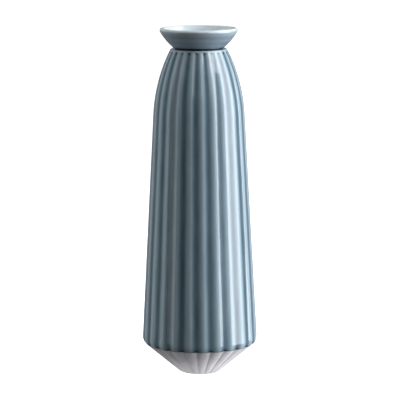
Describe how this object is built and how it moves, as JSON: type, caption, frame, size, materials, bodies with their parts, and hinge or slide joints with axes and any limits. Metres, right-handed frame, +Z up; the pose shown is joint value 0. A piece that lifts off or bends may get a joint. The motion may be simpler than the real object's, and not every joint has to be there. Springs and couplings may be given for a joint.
{
  "type": "bud vase",
  "caption": "Tall tapering ribbed porcelain vase with a bare cone foot, a blue-grey glazed body and a small flared collar round its mouth.",
  "frame": {"origin": "centre of the foot, on the surface that the vase stands on", "axes": "+Z up along the axis of the vase; one rib's crest faces -Y"},
  "size_m": [0.0798, 0.0798, 0.24],
  "materials": {
    "bare_porcelain": "unglazed biscuit porcelain, matt and very slightly rough, warm grey-white",
    "blue_grey_glaze": "glossy blue-grey celadon glaze, darker where it pools in the grooves and paler over the crests",
    "pale_glaze": "glossy pale grey-white glaze",
    "fired_slip": "fired slip stained dark grey by the glaze that runs into the seam"
  },
  "bodies": {
    "root": {"body_shell": "bare_porcelain", "body_glaze": "blue_grey_glaze", "collar_shell": "bare_porcelain", "collar_glaze": "blue_grey_glaze", "lining_glaze": "pale_glaze", "luting_ring": "fired_slip"}
  },
  "joints": []
}
